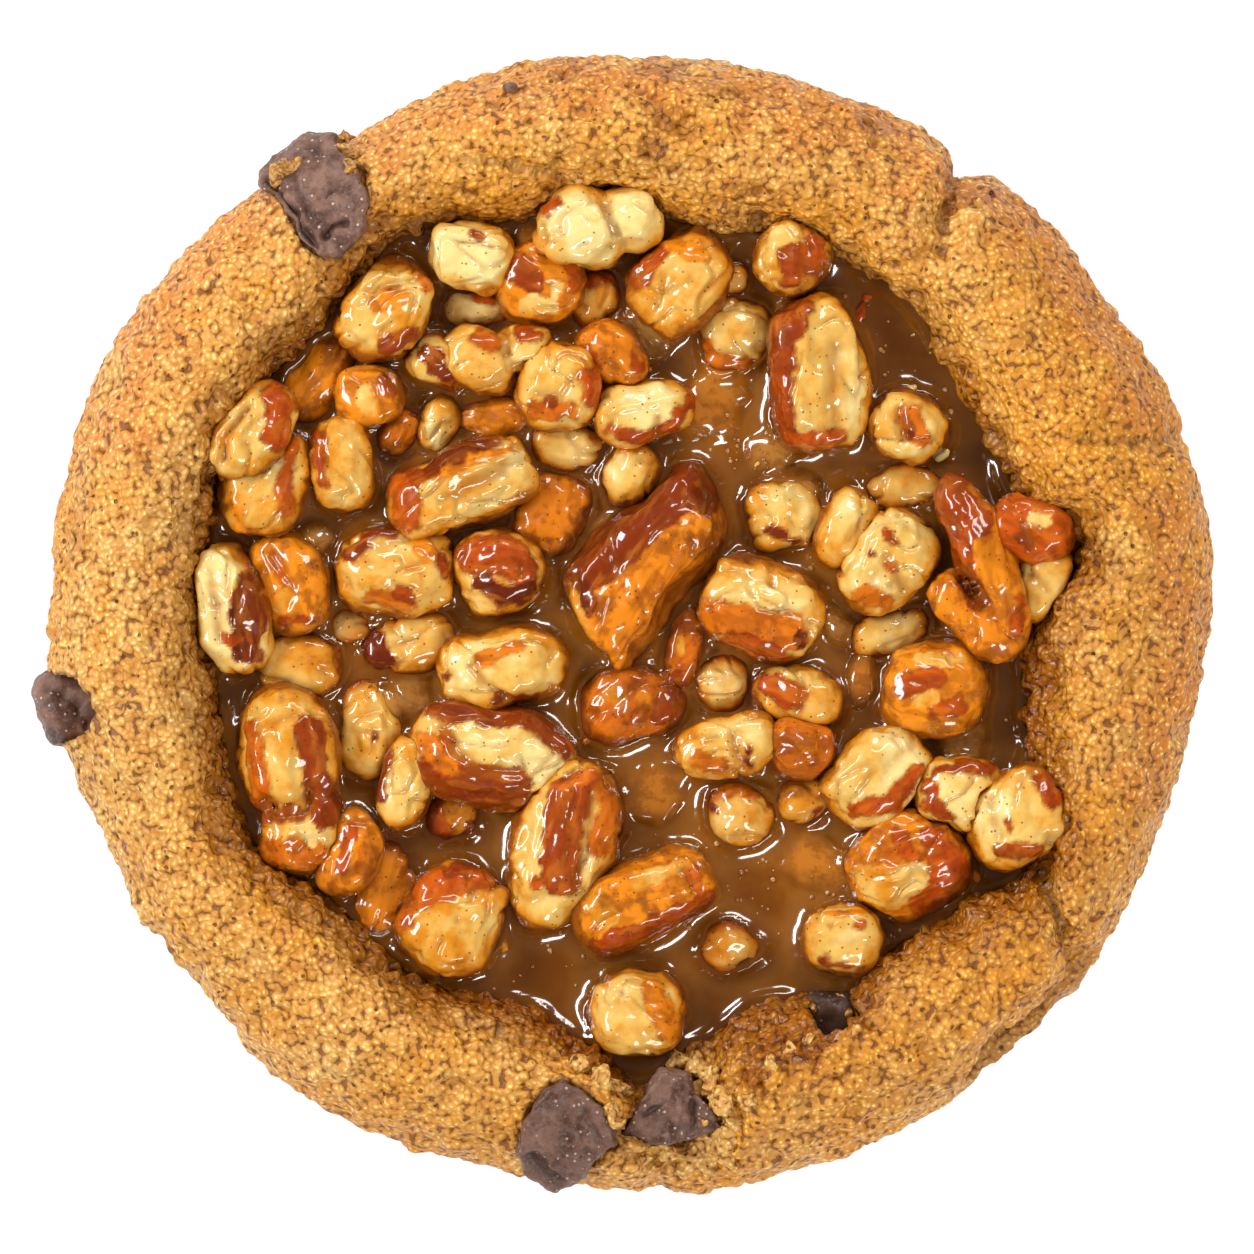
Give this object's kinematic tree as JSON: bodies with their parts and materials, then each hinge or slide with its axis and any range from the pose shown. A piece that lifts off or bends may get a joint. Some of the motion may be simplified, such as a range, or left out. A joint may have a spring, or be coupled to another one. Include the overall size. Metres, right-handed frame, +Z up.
{
  "type": "pecan pie",
  "caption": "Small round pie: a thick puffed cookie-dough crust with chocolate chips, filled with soft caramel and glazed chopped pecans.",
  "frame": {"origin": "on the ground under the middle of the pie", "axes": "+Z up through the middle of the filling; +X and +Y lie in the ground plane, and the two chocolate chips side by side on the rim lie towards -Y"},
  "size_m": [0.1147, 0.1112, 0.0289],
  "materials": {
    "crust": "matt baked cookie dough with a fine grainy crumb, golden tan, browner on the crown and towards the right",
    "caramel": "wet glossy translucent brown caramel",
    "pecan": "glazed chopped pecan, cream flesh and honey to red-brown skin under a clear wet glaze",
    "chocolate": "dull melted milk chocolate with a pale bloom"
  },
  "bodies": {
    "root": {"crust": "crust", "caramel": "caramel", "chip_top_left": "chocolate", "chip_left": "chocolate", "chip_bottom": "chocolate", "chip_notch": "chocolate", "chip_melted": "chocolate", "pecan_01": "pecan", "pecan_02": "pecan", "pecan_03": "pecan", "pecan_04": "pecan", "pecan_05": "pecan", "pecan_06": "pecan", "pecan_07": "pecan", "pecan_08": "pecan", "pecan_09": "pecan", "pecan_10": "pecan", "pecan_11": "pecan", "pecan_12": "pecan", "pecan_13": "pecan", "pecan_14": "pecan", "pecan_15": "pecan", "pecan_16": "pecan", "pecan_17": "pecan", "pecan_18": "pecan", "pecan_19": "pecan", "pecan_20": "pecan", "pecan_21": "pecan", "pecan_22": "pecan", "pecan_23": "pecan", "pecan_24": "pecan", "pecan_25": "pecan", "pecan_26": "pecan", "pecan_27": "pecan", "pecan_28": "pecan", "pecan_29": "pecan", "pecan_30": "pecan", "pecan_31": "pecan", "pecan_32": "pecan", "pecan_33": "pecan", "pecan_34": "pecan", "pecan_35": "pecan", "pecan_36": "pecan", "pecan_37": "pecan", "pecan_38": "pecan", "pecan_39": "pecan", "pecan_40": "pecan", "pecan_41": "pecan", "pecan_42": "pecan", "pecan_43": "pecan", "pecan_44": "pecan", "pecan_45": "pecan", "pecan_46": "pecan", "pecan_47": "pecan", "pecan_48": "pecan", "pecan_49": "pecan", "pecan_50": "pecan", "pecan_51": "pecan"}
  },
  "joints": []
}
